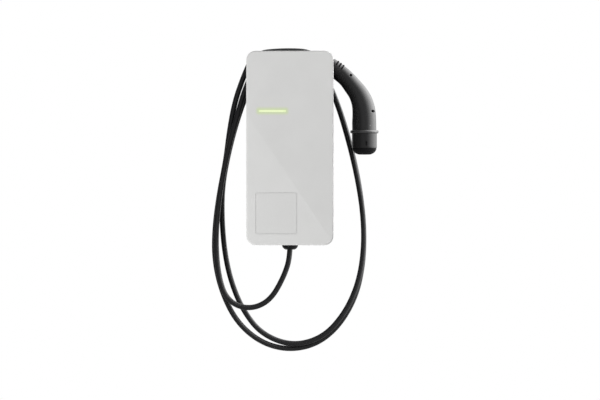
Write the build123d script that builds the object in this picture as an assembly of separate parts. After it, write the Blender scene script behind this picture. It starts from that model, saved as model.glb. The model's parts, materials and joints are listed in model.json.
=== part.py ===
from build123d import *
import math
import os

# Frame: X to the right, Z up, Y into the wall. The wall is the plane Y = 0, and a depth is
# a distance out from the wall. The origin is the centre of the four wall screws.

# Front cover: a deep moulded tray whose face is folded along two lines into three flat facets
COVER_W = 184.0
COVER_H = 410.0
COVER_CORNER = 20.0
COVER_BACK = 48.0
COVER_FRONT = 108.0
COVER_WALL = 4.0
COVER_EDGE = 3.0
RIM_WALL = 2.0
FACET_TILT = 4.5
FOLD_TOP_LEFT_OF_CENTRE = 12.6
FOLD_SIDE_HEIGHT = 73.6
FOLD_FOOT_FROM_SIDE = 6.0
FOLD_FOOT_FROM_BOTTOM = 13.0

# Status light, set in the cover's flat facet
LIGHT_FROM_LEFT = 55.0
LIGHT_FROM_TOP = 127.0
LIGHT_L = 57.4
LIGHT_H = 4.4
LIGHT_CORNER = 1.2
LIGHT_GAP = 0.15
LIGHT_FLANGE = 2.5
LIGHT_FLANGE_T = 1.5
LED_BOARD_H = 12.0
LED_BOARD_OVERHANG = 11.0
LED_BOARD_CORNER = 2.0
LED_POST_INSET = 4.0
LED_POST_R = 3.0
LED_POST_L = 4.0

# Card reader insert, flush in the lower left facet
INSERT_SIZE = 86.0
INSERT_FROM_LEFT = 20.2
INSERT_FROM_BOTTOM = 24.2
INSERT_T = 1.8
INSERT_GAP = 0.5
INSERT_CORNER = 2.5
INSERT_LEDGE = 7.0
READER_BOARD = 66.0
READER_POST_R = 2.5
READER_BEHIND_FACE = 14.0
PEG_R = 1.2
PEG_PROUD = 1.0

# Back plate and the two seals that it squeezes
PLATE_T = 3.0
SEAL_T = 2.0
SEAL_INSET = 0.2
PLATE_WINDOW_INSET = 12.0

# Cable drum: the narrow rear tub that the cable is wound round
DRUM_W = 148.0
DRUM_BELOW_COVER_TOP = 13.0
DRUM_ABOVE_COVER_FOOT = 22.0
DRUM_FOOT_CORNER = 20.0
DRUM_WALL = 3.0
DRUM_BACK = 10.0
DRUM_BOSS_FROM_TOP = 82.0
DRUM_BOSS_FROM_FOOT = 33.0
DRUM_BOSS_IN_WALL = 1.0

# Wall bracket: one folded sheet with two hooks and a foot for the locking screw
BRACKET_FROM_DRUM_SIDE = 19.0
BRACKET_FROM_DRUM_TOP = 42.0
BRACKET_FROM_DRUM_FOOT = 11.0
BRACKET_T = 2.0
BRACKET_CORNER = 6.0
WALL_SCREW_FROM_SIDE = 15.0
WALL_SCREW_FROM_TOP = 35.0
WALL_SCREW_R = 3.25
HOOK_FROM_SIDE = 20.0
HOOK_W = 24.0
HOOK_H = 14.0
HOOK_REACH = 7.0
FOOT_W = 30.0
FOOT_REACH = 9.0
RAIL_FROM_DRUM_SIDE = 16.0
RAIL_T = 2.2
BRACKET_WINDOW_W = 60.0
BRACKET_WINDOW_H = 80.0
BRACKET_WINDOW_CORNER = 8.0

# Screws
SCREW_R = 2.0
SCREW_HEAD_R = 3.6
SCREW_HEAD_T = 2.4
SCREW_GAP = 0.1
COVER_SCREW_L = 16.0
PLATE_SCREW_L = 12.0
BOARD_SCREW_L = 9.0
BORE_SPARE = 4.0
SMALL_SCREW_R = 1.2
SMALL_SCREW_HEAD_R = 2.2
SMALL_SCREW_HEAD_T = 1.4
BOSS_R = 4.6
COVER_BOSS_FROM_SIDE = 12.0
COVER_BOSS_FROM_END = 15.0
LOCK_SCREW_R = 2.5
LOCK_DEPTH = 5.5
LOCK_HEAD_R = 4.6
LOCK_HEAD_T = 3.0
LOCK_KEY_AF = 4.0
LOCK_KEY_DEPTH = 2.0
LOCK_SCREW_PAST = 6.0

# Supply entry
GROMMET_FROM_BRACKET_TOP = 75.0
GROMMET_BORE_R = 7.0
GROMMET_NECK_R = 11.0
GROMMET_FLANGE_R = 14.0
GROMMET_FLANGE_T = 2.5

# Boards and what stands on them
BOARD_T = 1.6
BOARD_CORNER = 3.0
BOARD_EDGE = 6.0
BOARD_SIDE_GAP = 4.8
POWER_FROM_DRUM_TOP = 47.0
POWER_FROM_DRUM_FOOT = 38.0
POWER_DEPTH = 33.0
CONTROL_H = 130.0
CONTROL_Z = 20.0
CONTROL_BEHIND_FACE = 24.0
STANDOFF_AF = 6.0
STANDOFF_HOLE_R = 1.6
RELAY_H = 30.0
RELAY_DEPTH = 26.0
RELAY_COUNT = 4
RELAY_GAP = 5.0
RELAY_EDGE = 6.5
RELAY_CORNER = 1.0
RELAY_Z = 30.0
SUPPLY_TERMINAL = (72.0, 24.0, 22.0)
OUTPUT_TERMINAL = (44.0, 16.0, 14.0)
TERMINAL_WAYS = 5
WELL_WALL = 1.8
WELL_FROM_TOP = 6.5
WELL_DEPTH = 7.0
SENSOR_R = 20.0
SENSOR_BORE_R = 11.0
SENSOR_T = 16.0
SENSOR_Z = -85.0
SENSOR_EDGE = 2.0
RADIO = (26.0, 18.0, 3.0)
RADIO_X = 20.0
RADIO_ABOVE_CENTRE = 25.0

# Cable and its gland
CABLE_D = 11.5
CABLE_CLEARANCE = 0.2
CABLE_END_IN_NUT = 3.0
GLAND_DEPTH = 29.0
GLAND_THREAD_R = 12.0
GLAND_THREAD_L = 12.0
GLAND_FLANGE_AF = 33.0
GLAND_FLANGE_T = 6.0
GLAND_NUT_AF = 36.0
GLAND_NUT_L = 17.0
GLAND_NUT_CHAMFER = 2.0
GLAND_BORE_SPARE = 1.0
GLAND_DOME_L = 9.5
GLAND_DOME_R = 17.5
GLAND_DOME_BULGE = 1.7
GLAND_TIP_WALL = 3.65
GLAND_TIP_FLOOR = 4.0
GLAND_SEAL_WALL = 3.45
LOCKNUT_AF = 32.0
LOCKNUT_T = 5.0
LEAD_R = 1.4
LEAD_RING_R = 3.3

# Handset: its nose axis is upright, and its bend is turned about that axis so that the tail
# slips behind the cover
PLUG_FROM_COVER = 66.5
PLUG_DEPTH = 48.0
PLUG_YAW = 13.5
COLLAR_TOP = 38.8
COLLAR_T = 6.4
COLLAR_R = 30.0
COLLAR_EDGE = 2.0
BEND_START = 52.0
BEND_R = 137.0
BEND_TURN = 50.0
TAIL_L = 34.2
HANDLE_WALL = 2.5
HANDLE_ROUND = 12.5
TAIL_WALL = 4.0
RIB_COUNT = 3
RIB_FROM_AXIS = 8.5
RIB_PROUD = 1.5
RIB_W = 3.6
RIB_PITCH = 7.2
RIB_FROM_TAIL_END = 13.5
NOSE_R = 23.6
NOSE_FLAT_IN = 3.1
NOSE_L = 32.0
NOSE_WALL = 2.4
NOSE_RECESS = 5.0
SPIGOT_L = 11.0
CARRIER_R = 18.3
CARRIER_GAP = 0.1
CARRIER_LIP = 1.3
CARRIER_FLANGE_T = 1.5
POWER_PIN_R = 3.05
SIGNAL_PIN_R = 1.6
POWER_CONTACT_R = 4.0
SIGNAL_CONTACT_R = 3.0
CONTACT_GAP = 0.15
CONTACT_SET_BACK = 1.0
CONTACT_TAIL = 4.0
SOCKET_DEPTH = 28.0
STRAIN_L = 22.0
STRAIN_ROOT_WALL = 3.85
STRAIN_NECK_WALL = 3.25
STRAIN_TIP_WALL = 1.45
STRAIN_FLANGE_WALL = 4.85
STRAIN_FLANGE_GAP = 0.45
STRAIN_FLANGE_T = 3.0
PLUG_SCREW_R = 1.5
PLUG_SCREW_HEAD_R = 2.2
PLUG_SCREW_HEAD_T = 2.2
PLUG_SCREW_SEAT = 6.0
PLUG_SCREW_TIP = 8.0
PLUG_BORE_SPARE = 2.0
PLUG_BOSS_R = 4.2
PLUG_SCREWS = [(-27.3, 156.3), (18.1, 78.7)]
POWER_ROW_PITCH = 13.0
POWER_PAIR_X = 7.0
POWER_PAIR_Y = -11.5
SIGNAL_X = 6.5
SIGNAL_Y = 10.5
CAP_GAP = 0.8
CAP_WALL = 2.1
CAP_L = 45.0
CAP_ROUND = 17.0
CAP_RING_FROM_FOOT = 12.5
CAP_RING_DEPTH = 1.2
CAP_RING_H = 1.2
CAP_SLOT_W = 3.5
CAP_SLOT_H = 9.5
CAP_SLOT_DEPTH = 0.8
CAP_SLOT_FROM_FOOT = 23.5
CAP_SLOT_TURN = 20.9

# General clearance between pieces that fit together
FIT = 0.3
SMALLEST_CORNER = 0.5

# Worked out from the sizes above
PLATE_FRONT = COVER_BACK + PLATE_T
LEDGE_DEPTH = PLATE_FRONT + SEAL_T
LIGHT_X = LIGHT_FROM_LEFT - COVER_W / 2
LIGHT_Z = COVER_H / 2 - LIGHT_FROM_TOP
INSERT_X = -COVER_W / 2 + INSERT_FROM_LEFT + INSERT_SIZE / 2
INSERT_Z = -COVER_H / 2 + INSERT_FROM_BOTTOM + INSERT_SIZE / 2
READER_DEPTH = COVER_FRONT - READER_BEHIND_FACE
CONTROL_DEPTH = COVER_FRONT - CONTROL_BEHIND_FACE
DRUM_FRONT = COVER_BACK - SEAL_T
DRUM_R = DRUM_W / 2
DRUM_TOP = COVER_H / 2 - DRUM_BELOW_COVER_TOP
DRUM_FOOT = -COVER_H / 2 + DRUM_ABOVE_COVER_FOOT
RAIL_W = DRUM_W - 2 * RAIL_FROM_DRUM_SIDE
BRACKET_W = DRUM_W - 2 * BRACKET_FROM_DRUM_SIDE
BRACKET_TOP = DRUM_TOP - BRACKET_FROM_DRUM_TOP
BRACKET_FOOT = DRUM_FOOT + BRACKET_FROM_DRUM_FOOT
HOOK_X = BRACKET_W / 2 - HOOK_FROM_SIDE
WALL_SCREW_X = BRACKET_W / 2 - WALL_SCREW_FROM_SIDE
WALL_SCREW_Z = BRACKET_TOP - WALL_SCREW_FROM_TOP
GROMMET_Z = BRACKET_TOP - GROMMET_FROM_BRACKET_TOP
FOLD_TOP = (-FOLD_TOP_LEFT_OF_CENTRE, COVER_H / 2)
FOLD_SIDE = (-COVER_W / 2, FOLD_SIDE_HEIGHT)
FOLD_FOOT = (COVER_W / 2 - FOLD_FOOT_FROM_SIDE, -COVER_H / 2 + FOLD_FOOT_FROM_BOTTOM)
COVER_INNER_FRONT = COVER_FRONT - COVER_WALL
COVER_BOSS_X = COVER_W / 2 - COVER_BOSS_FROM_SIDE
COVER_BOSS_Z = COVER_H / 2 - COVER_BOSS_FROM_END
COVER_BOSSES = [(x, z) for x in (-COVER_BOSS_X, COVER_BOSS_X) for z in (-COVER_BOSS_Z, 0, COVER_BOSS_Z)]
DRUM_BOSS_X = DRUM_R - DRUM_WALL - BOSS_R + DRUM_BOSS_IN_WALL
DRUM_BOSS_TOP = DRUM_TOP - DRUM_BOSS_FROM_TOP
DRUM_BOSS_FOOT = DRUM_FOOT + DRUM_BOSS_FROM_FOOT
DRUM_BOSS_HEIGHTS = (DRUM_BOSS_FOOT, (DRUM_BOSS_FOOT + DRUM_BOSS_TOP) / 2, DRUM_BOSS_TOP)
DRUM_BOSSES = [(x, z) for x in (-DRUM_BOSS_X, DRUM_BOSS_X) for z in DRUM_BOSS_HEIGHTS]
POWER_W = 2 * (DRUM_BOSS_X - BOSS_R - BOARD_SIDE_GAP)
POWER_TOP = DRUM_TOP - POWER_FROM_DRUM_TOP
POWER_FOOT = DRUM_FOOT + POWER_FROM_DRUM_FOOT
POWER_H = POWER_TOP - POWER_FOOT
CONTROL_W = POWER_W
RELAY_W = (POWER_W - 2 * RELAY_EDGE - (RELAY_COUNT - 1) * RELAY_GAP) / RELAY_COUNT
BOARD_POSTS = [
    (x, z)
    for x in (-POWER_W / 2 + BOARD_EDGE, POWER_W / 2 - BOARD_EDGE)
    for z in (POWER_FOOT + BOARD_EDGE, POWER_TOP - BOARD_EDGE)
]
STANDOFFS = [
    (x, z)
    for x in (-CONTROL_W / 2 + BOARD_EDGE, CONTROL_W / 2 - BOARD_EDGE)
    for z in (CONTROL_Z - CONTROL_H / 2 + BOARD_EDGE, CONTROL_Z + CONTROL_H / 2 - BOARD_EDGE)
]
READER_POSTS = [
    (INSERT_X + sx * (READER_BOARD / 2 - BOARD_EDGE), INSERT_Z + sz * (READER_BOARD / 2 - BOARD_EDGE))
    for sx in (-1, 1)
    for sz in (-1, 1)
]
LED_BOARD_L = LIGHT_L + 2 * LED_BOARD_OVERHANG
LED_POSTS = [(LIGHT_X + s * (LED_BOARD_L / 2 - LED_POST_INSET), LIGHT_Z) for s in (-1, 1)]
WALL_SCREWS = [(x, z) for x in (-WALL_SCREW_X, WALL_SCREW_X) for z in (-WALL_SCREW_Z, WALL_SCREW_Z)]
CABLE_R = CABLE_D / 2
CABLE_BORE_R = CABLE_R + CABLE_CLEARANCE
GLAND_NUT_TOP = DRUM_FOOT - GLAND_FLANGE_T
GLAND_NUT_SHOULDER = GLAND_NUT_TOP - GLAND_NUT_L
GLAND_TIP = GLAND_NUT_SHOULDER - GLAND_DOME_L
CABLE_START = GLAND_NUT_TOP - CABLE_END_IN_NUT
GLAND_TIP_R = CABLE_BORE_R + GLAND_TIP_WALL
GLAND_SEAL_R = CABLE_BORE_R + GLAND_SEAL_WALL
STRAIN_ROOT_R = CABLE_BORE_R + STRAIN_ROOT_WALL
STRAIN_NECK_R = CABLE_BORE_R + STRAIN_NECK_WALL
STRAIN_TIP_R = CABLE_BORE_R + STRAIN_TIP_WALL
STRAIN_FLANGE_R = CABLE_BORE_R + STRAIN_FLANGE_WALL
PLUG_X = COVER_W / 2 + PLUG_FROM_COVER
PLUG_REACH = 2 * COLLAR_R
COLLAR_FOOT = COLLAR_TOP - COLLAR_T
NOSE_FLAT = NOSE_R - NOSE_FLAT_IN
CAP_R = NOSE_R + CAP_GAP + CAP_WALL
NOSE_END = COLLAR_FOOT - NOSE_L
SPIGOT_TOP = COLLAR_TOP + SPIGOT_L
SOCKET_FACE = NOSE_END + NOSE_RECESS
CAP_TOP = COLLAR_FOOT - FIT
CAP_FOOT = CAP_TOP - CAP_L
POWER_SOCKETS = [(s * POWER_ROW_PITCH, 0) for s in (-1, 0, 1)]
POWER_SOCKETS += [(s * POWER_PAIR_X, POWER_PAIR_Y) for s in (-1, 1)]
SIGNAL_SOCKETS = [(s * SIGNAL_X, SIGNAL_Y) for s in (-1, 1)]
HANDLE_STRAIGHT = BEND_START - COLLAR_TOP
HANDLE_L = HANDLE_STRAIGHT + BEND_R * math.radians(BEND_TURN) + TAIL_L
PLUG_PLACE = Location((PLUG_X, -PLUG_DEPTH, 0), (0, 0, -PLUG_YAW))
TAIL_THICK = 2 * (STRAIN_FLANGE_R + STRAIN_FLANGE_GAP + HANDLE_WALL)

# Handle sections: distance along the axis from the collar, width in the bend's plane, thickness
HANDLE_SECTIONS = [
    (0.0, 48.5, 48.0),
    (25.0, 47.8, 46.0),
    (50.0, 46.6, 43.5),
    (78.0, 42.0, 39.0),
    (105.0, 37.0, 34.0),
    (140.0, 36.5, 29.0),
    (HANDLE_L, 33.0, TAIL_THICK),
]

# Cable route from the gland to the handset, two and a half turns round the drum
CABLE_ROUTE = [
    (0, -GLAND_DEPTH, CABLE_START), (0, -GLAND_DEPTH, -232), (-13.5, -29.5, -271), (-41, -30, -320.5),
    (-74, -31, -340.5), (-111, -32.5, -338), (-138, -34, -316), (-151, -35, -278),
    (-158, -35, -222), (-157, -35, -155), (-148, -35, -82), (-134.5, -35, -10), (-115, -34, 62),
    (-97.5, -31.5, 124), (-77, -29.5, 170), (-36, -29, 198.5),
    (34, -27, 198.5), (68, -20.5, 170), (89, -18, 126), (105, -17.5, 86), (119, -17.5, 40),
    (134.5, -17.5, -18), (148.5, -17.5, -84), (157.5, -17.5, -150), (158, -17.5, -220),
    (146, -17.5, -290), (117, -17.5, -353.5), (70, -17.5, -405), (4, -16.5, -422),
    (-62, -13.5, -397), (-102.5, -10, -344), (-127, -8, -284), (-140.5, -7, -222), (-146.5, -7, -150),
    (-145.5, -7, -80), (-133.5, -7, -14), (-117, -8.5, 50), (-97.5, -12, 108), (-73, -15, 163),
    (-36, -16, 198.5),
    (34, -14.5, 198.5), (70, -8, 171), (91, -6, 124), (108, -6, 80), (124.5, -6, 26), (142, -6, -44),
    (153.5, -6, -112), (159, -6, -180), (156.5, -6, -248), (141.5, -6, -317), (105, -6, -380.5),
    (56, -6.5, -420), (-4, -8.5, -432.5),
    (-63.5, -13, -416.5), (-114.5, -18, -371), (-147, -20.5, -305), (-162, -21, -236), (-161, -21, -168),
    (-151.5, -21, -96), (-137.5, -21, -26), (-129, -21, 36), (-116.5, -22, 100), (-97, -23.5, 156),
    (-74, -24, 203), (-8, -22.5, 210.7),
]
CABLE_LAST_RUN = 48.9
CABLE_IN_HANDLE = 5.0
ARC_SHARE_OF_RUN = 0.45
SMALLEST_RADII_SHOWN = 8


def front_view(depth):
    """The plane at this depth, seen from the front: its x is X and its y is Z."""
    return Plane(origin=(0, -depth, 0), x_dir=(1, 0, 0), z_dir=(0, -1, 0))


def slab(outline, back, front):
    """A front-view outline made solid between two depths."""
    return extrude(front_view(back) * outline, front - back)


def spots(places, radius):
    """Circles at a list of front-view places."""
    return Sketch() + [Pos(x, z) * Circle(radius) for x, z in places]


def side_profile(points, x_low, x_high):
    """A section of (depth, height) points made solid from x_low to x_high."""
    outline = Polyline(*[(-depth, z) for depth, z in points], close=True)
    return extrude(Plane.YZ.offset(x_low) * make_face(outline), x_high - x_low)


def upright(outline, z_low, z_high):
    """A plan-view outline made solid between two heights."""
    return extrude(Plane.XY.offset(z_low) * outline, z_high - z_low)


def turned(points):
    """A profile of (radius, height) points turned about the Z axis."""
    return revolve(Plane.XZ * make_face(Polyline(*points, close=True)), Axis.Z)


def rounded(width, height, corner, inset):
    """A rounded rectangle drawn in by the same amount all round."""
    return RectangleRounded(width - 2 * inset, height - 2 * inset, max(corner - inset, SMALLEST_CORNER))


def screws_along_depth(places, seat, tip, pointing_out):
    """Pan-head screws along Y: the head stands on the seat depth and the shank ends at the tip."""
    head_end = seat - SCREW_HEAD_T if pointing_out else seat + SCREW_HEAD_T
    heads = slab(spots(places, SCREW_HEAD_R), min(seat, head_end), max(seat, head_end))
    shanks = slab(spots(places, SCREW_R - SCREW_GAP), min(seat, tip), max(seat, tip))
    return heads + shanks


def facet_plane(start, end, inset):
    """Plane of the facet on the left of the fold from start to end, which falls away from the fold."""
    run = Vector(end[0] - start[0], 0, end[1] - start[1]).normalized()
    away = Vector(run.Z, 0, -run.X)
    tilt = math.radians(FACET_TILT)
    normal = Vector(0, -1, 0) * math.cos(tilt) + away * math.sin(tilt)
    return Plane(origin=(start[0], inset - COVER_FRONT, start[1]), x_dir=run, z_dir=normal)


def facet_block(plane, inset, edge):
    """The cover's filled outline up to one facet's plane, carried right across, with its edge rounded."""
    reach = 2 * COVER_H
    block = slab(rounded(COVER_W, COVER_H, COVER_CORNER, inset), COVER_BACK, 2 * COVER_FRONT)
    block -= plane * Pos(0, 0, reach / 2) * Box(2 * reach, 2 * reach, reach)
    return fillet(block.faces().sort_by(Axis.Y)[0].edges(), edge) if edge else block


def cover_block(inset, edge=0):
    """The cover's outer form, filled, with every face drawn in: the part that three facet blocks share."""
    block = facet_block(front_view(COVER_FRONT - inset), inset, edge)
    for start, end in ((FOLD_TOP, FOLD_SIDE), (FOLD_SIDE, FOLD_FOOT)):
        block &= facet_block(facet_plane(start, end, inset), inset, edge)
    return block


def insert_outline(inset):
    return Pos(INSERT_X, INSERT_Z) * rounded(INSERT_SIZE, INSERT_SIZE, INSERT_CORNER, inset)


def light_outline(extra):
    outline = RectangleRounded(LIGHT_L + 2 * extra, LIGHT_H + 2 * extra, LIGHT_CORNER + extra)
    return Pos(LIGHT_X, LIGHT_Z) * outline


def front_cover():
    """Moulded cover: faceted face, rabbet for plate and seal, screw bosses, light slot, insert pocket."""
    inside = cover_block(COVER_WALL)
    shell = cover_block(0, COVER_EDGE) - inside
    shell -= slab(rounded(COVER_W, COVER_H, COVER_CORNER, RIM_WALL), COVER_BACK, LEDGE_DEPTH)
    posts = slab(spots(COVER_BOSSES, BOSS_R), PLATE_FRONT, COVER_FRONT)
    posts += slab(spots(LED_POSTS, LED_POST_R), COVER_INNER_FRONT - LED_POST_L, COVER_FRONT)
    shell += posts & cover_block(COVER_WALL / 2)
    bore_end = PLATE_FRONT + COVER_SCREW_L + BORE_SPARE
    shell -= slab(spots(COVER_BOSSES, SCREW_R), PLATE_FRONT, bore_end)
    shell -= slab(light_outline(0), COVER_BACK, COVER_FRONT)
    pocket = slab(insert_outline(-INSERT_GAP), COVER_BACK, COVER_FRONT)
    shell -= pocket - cover_block(INSERT_T)
    shell -= slab(insert_outline(INSERT_LEDGE), COVER_BACK, COVER_FRONT)
    return shell


def reader_insert():
    """Flush square window with four posts that carry the reader board."""
    plate = slab(insert_outline(0), COVER_BACK, COVER_FRONT) & (cover_block(0) - cover_block(INSERT_T))
    posts = slab(spots(READER_POSTS, READER_POST_R), READER_DEPTH + BOARD_T, COVER_FRONT)
    pegs = slab(spots(READER_POSTS, PEG_R), READER_DEPTH - PEG_PROUD, COVER_FRONT)
    return plate + ((posts + pegs) & cover_block(INSERT_T / 2))


def reader_board():
    board = Pos(INSERT_X, INSERT_Z) * RectangleRounded(READER_BOARD, READER_BOARD, BOARD_CORNER)
    return slab(board - spots(READER_POSTS, PEG_R + SCREW_GAP), READER_DEPTH, READER_DEPTH + BOARD_T)


def light_guide():
    """Clear bar in the slot, with a flange behind the cover's wall."""
    bar = slab(light_outline(-LIGHT_GAP), COVER_INNER_FRONT, COVER_FRONT)
    return bar + slab(light_outline(LIGHT_FLANGE), COVER_INNER_FRONT - LIGHT_FLANGE_T, COVER_INNER_FRONT)


def led_board():
    board = Pos(LIGHT_X, LIGHT_Z) * RectangleRounded(LED_BOARD_L, LED_BOARD_H, LED_BOARD_CORNER)
    front = COVER_INNER_FRONT - LED_POST_L
    return slab(board - spots(LED_POSTS, SMALL_SCREW_R + SCREW_GAP), front - BOARD_T, front)


def led_screws():
    """Two small screws through the light's board into its posts' ends."""
    back = COVER_INNER_FRONT - LED_POST_L - BOARD_T
    heads = slab(spots(LED_POSTS, SMALL_SCREW_HEAD_R), back - SMALL_SCREW_HEAD_T, back)
    return heads + slab(spots(LED_POSTS, SMALL_SCREW_R), back, back + BOARD_T)


def drum_outline(inset):
    """Front view of the drum: straight sides, a round top and small corners at the foot."""
    radius = DRUM_R - inset
    foot = DRUM_FOOT + inset
    crown = DRUM_TOP - DRUM_R
    outline = Pos(0, (crown + foot) / 2) * Rectangle(2 * radius, crown - foot)
    outline += Pos(0, crown) * Circle(radius)
    return fillet(outline.vertices().group_by(Axis.Y)[0], DRUM_FOOT_CORNER - inset)


def back_plate():
    """Flat plate that closes the cover, with a window into the drum."""
    plate = rounded(COVER_W, COVER_H, COVER_CORNER, RIM_WALL + FIT) - drum_outline(PLATE_WINDOW_INSET)
    plate -= spots(COVER_BOSSES, SCREW_R + FIT) + spots(DRUM_BOSSES, SCREW_R + FIT)
    return slab(plate, COVER_BACK, PLATE_FRONT)


def cover_seal():
    outer = rounded(COVER_W, COVER_H, COVER_CORNER, RIM_WALL + FIT)
    inner = rounded(COVER_W, COVER_H, COVER_CORNER, COVER_WALL - SEAL_INSET)
    return slab(outer - inner, PLATE_FRONT, LEDGE_DEPTH)


def drum_seal():
    return slab(drum_outline(SEAL_INSET) - drum_outline(DRUM_WALL), DRUM_FRONT, COVER_BACK)


def hang_rail():
    """Lip along the drum's back that drops behind the bracket's hooks, on a shelf from the back wall."""
    lip_back = BRACKET_T / 2
    lip_front = HOOK_REACH - BRACKET_T - FIT
    shelf_foot = BRACKET_TOP + HOOK_H - BRACKET_T + FIT
    section = [
        (DRUM_BACK, shelf_foot),
        (lip_front, shelf_foot),
        (lip_front, BRACKET_TOP + FIT),
        (lip_back, BRACKET_TOP + FIT),
        (lip_back, shelf_foot + RAIL_T),
        (DRUM_BACK, shelf_foot + RAIL_T),
    ]
    return side_profile(section, -RAIL_W / 2, RAIL_W / 2)


def cable_drum():
    """Rear tub: round-topped wall, back wall, board posts, plate bosses and hang rail."""
    inner_back = DRUM_BACK + DRUM_WALL
    tub = slab(drum_outline(0), 0, DRUM_FRONT)
    tub -= slab(drum_outline(DRUM_WALL), inner_back, DRUM_FRONT)
    tub -= slab(drum_outline(DRUM_WALL), 0, DRUM_BACK)
    tub += slab(spots(BOARD_POSTS, BOSS_R), inner_back, POWER_DEPTH)
    tub += slab(spots(DRUM_BOSSES, BOSS_R), inner_back, DRUM_FRONT)
    tub += hang_rail()
    tub -= slab(spots(BOARD_POSTS, SCREW_R), POWER_DEPTH - BOARD_SCREW_L - BORE_SPARE, POWER_DEPTH)
    tub -= slab(spots(DRUM_BOSSES, SCREW_R), DRUM_FRONT - PLATE_SCREW_L - BORE_SPARE, DRUM_FRONT)
    tub -= slab(spots([(0, GROMMET_Z)], GROMMET_NECK_R + CABLE_CLEARANCE), 0, inner_back)
    gland_hole = Pos(0, -GLAND_DEPTH) * Circle(GLAND_THREAD_R + CABLE_CLEARANCE)
    lock_hole = Pos(0, -LOCK_DEPTH) * Circle(LOCK_SCREW_R + FIT)
    tub -= upright(gland_hole + lock_hole, DRUM_FOOT, DRUM_FOOT + DRUM_WALL)
    return tub


def plate_screws():
    return screws_along_depth(DRUM_BOSSES, PLATE_FRONT, DRUM_FRONT - PLATE_SCREW_L, False)


def cover_screws():
    return screws_along_depth(COVER_BOSSES, COVER_BACK, PLATE_FRONT + COVER_SCREW_L, True)


def board_screws():
    return screws_along_depth(BOARD_POSTS, POWER_DEPTH + BOARD_T, POWER_DEPTH - BOARD_SCREW_L, False)


def bracket_hook(x):
    """One hook: the sheet folded forward at its top edge and then up."""
    inner = HOOK_REACH - BRACKET_T
    section = [
        (0, BRACKET_TOP),
        (0, BRACKET_TOP - BRACKET_T),
        (HOOK_REACH, BRACKET_TOP - BRACKET_T),
        (HOOK_REACH, BRACKET_TOP + HOOK_H - BRACKET_T),
        (inner, BRACKET_TOP + HOOK_H - BRACKET_T),
        (inner, BRACKET_TOP),
    ]
    hook = side_profile(section, x - HOOK_W / 2, x + HOOK_W / 2)
    return fillet(hook.edges().filter_by(Axis.X).group_by(Axis.Y)[0].sort_by(Axis.Z)[0], BRACKET_T)


def wall_bracket():
    """Folded steel sheet: four screw holes, a cable window, two hooks and a tapped foot."""
    height = BRACKET_TOP - BRACKET_FOOT
    sheet = Pos(0, BRACKET_FOOT + height / 2) * RectangleRounded(BRACKET_W, height, BRACKET_CORNER)
    sheet -= spots(WALL_SCREWS, WALL_SCREW_R)
    window = RectangleRounded(BRACKET_WINDOW_W, BRACKET_WINDOW_H, BRACKET_WINDOW_CORNER)
    sheet -= Pos(0, GROMMET_Z) * window
    bracket = slab(sheet, 0, BRACKET_T)
    for x in (-HOOK_X, HOOK_X):
        bracket += bracket_hook(x)
    foot = [
        (0, BRACKET_FOOT),
        (FOOT_REACH, BRACKET_FOOT),
        (FOOT_REACH, BRACKET_FOOT + BRACKET_T),
        (0, BRACKET_FOOT + BRACKET_T),
    ]
    bracket += side_profile(foot, -FOOT_W / 2, FOOT_W / 2)
    tapped = upright(Pos(0, -LOCK_DEPTH) * Circle(LOCK_SCREW_R), BRACKET_FOOT, BRACKET_FOOT + BRACKET_T)
    return bracket - tapped


def locking_screw():
    """Screw up through the drum's foot into the bracket, so that the box can't be lifted off."""
    head_foot = DRUM_FOOT - LOCK_HEAD_T
    screw = upright(Circle(LOCK_SCREW_R - SCREW_GAP), DRUM_FOOT, BRACKET_FOOT + LOCK_SCREW_PAST)
    screw += upright(Circle(LOCK_HEAD_R), head_foot, DRUM_FOOT)
    screw -= upright(hexagon(LOCK_KEY_AF), head_foot, head_foot + LOCK_KEY_DEPTH)
    return Pos(0, -LOCK_DEPTH, 0) * screw


def supply_grommet():
    """Rubber bush in the drum's back wall where the supply cable comes in."""
    outer = DRUM_BACK - GROMMET_FLANGE_T
    inner = DRUM_BACK + DRUM_WALL
    place = [(0, GROMMET_Z)]
    bush = slab(spots(place, GROMMET_NECK_R), outer, inner + GROMMET_FLANGE_T)
    bush += slab(spots(place, GROMMET_FLANGE_R), outer, DRUM_BACK)
    bush += slab(spots(place, GROMMET_FLANGE_R), inner, inner + GROMMET_FLANGE_T)
    return bush - slab(spots(place, GROMMET_BORE_R), 0, inner + 2 * GROMMET_FLANGE_T)


def hexagon(across_flats):
    """Hexagon with two flats facing front and back."""
    return RegularPolygon(across_flats / math.sqrt(3), 6)


def at_gland(shape):
    return Pos(0, -GLAND_DEPTH, 0) * shape


def gland_body():
    """Threaded body: flange under the drum's foot, thread up through it."""
    body = upright(hexagon(GLAND_FLANGE_AF), GLAND_NUT_TOP, DRUM_FOOT)
    body += upright(Circle(GLAND_THREAD_R), DRUM_FOOT, DRUM_FOOT + GLAND_THREAD_L)
    bore = Circle(CABLE_BORE_R + GLAND_BORE_SPARE)
    return at_gland(body - upright(bore, GLAND_NUT_TOP, DRUM_FOOT + GLAND_THREAD_L))


def gland_locknut():
    seat = DRUM_FOOT + DRUM_WALL
    nut = hexagon(LOCKNUT_AF) - Circle(GLAND_THREAD_R + CABLE_CLEARANCE)
    return at_gland(upright(nut, seat, seat + LOCKNUT_T))


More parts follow.
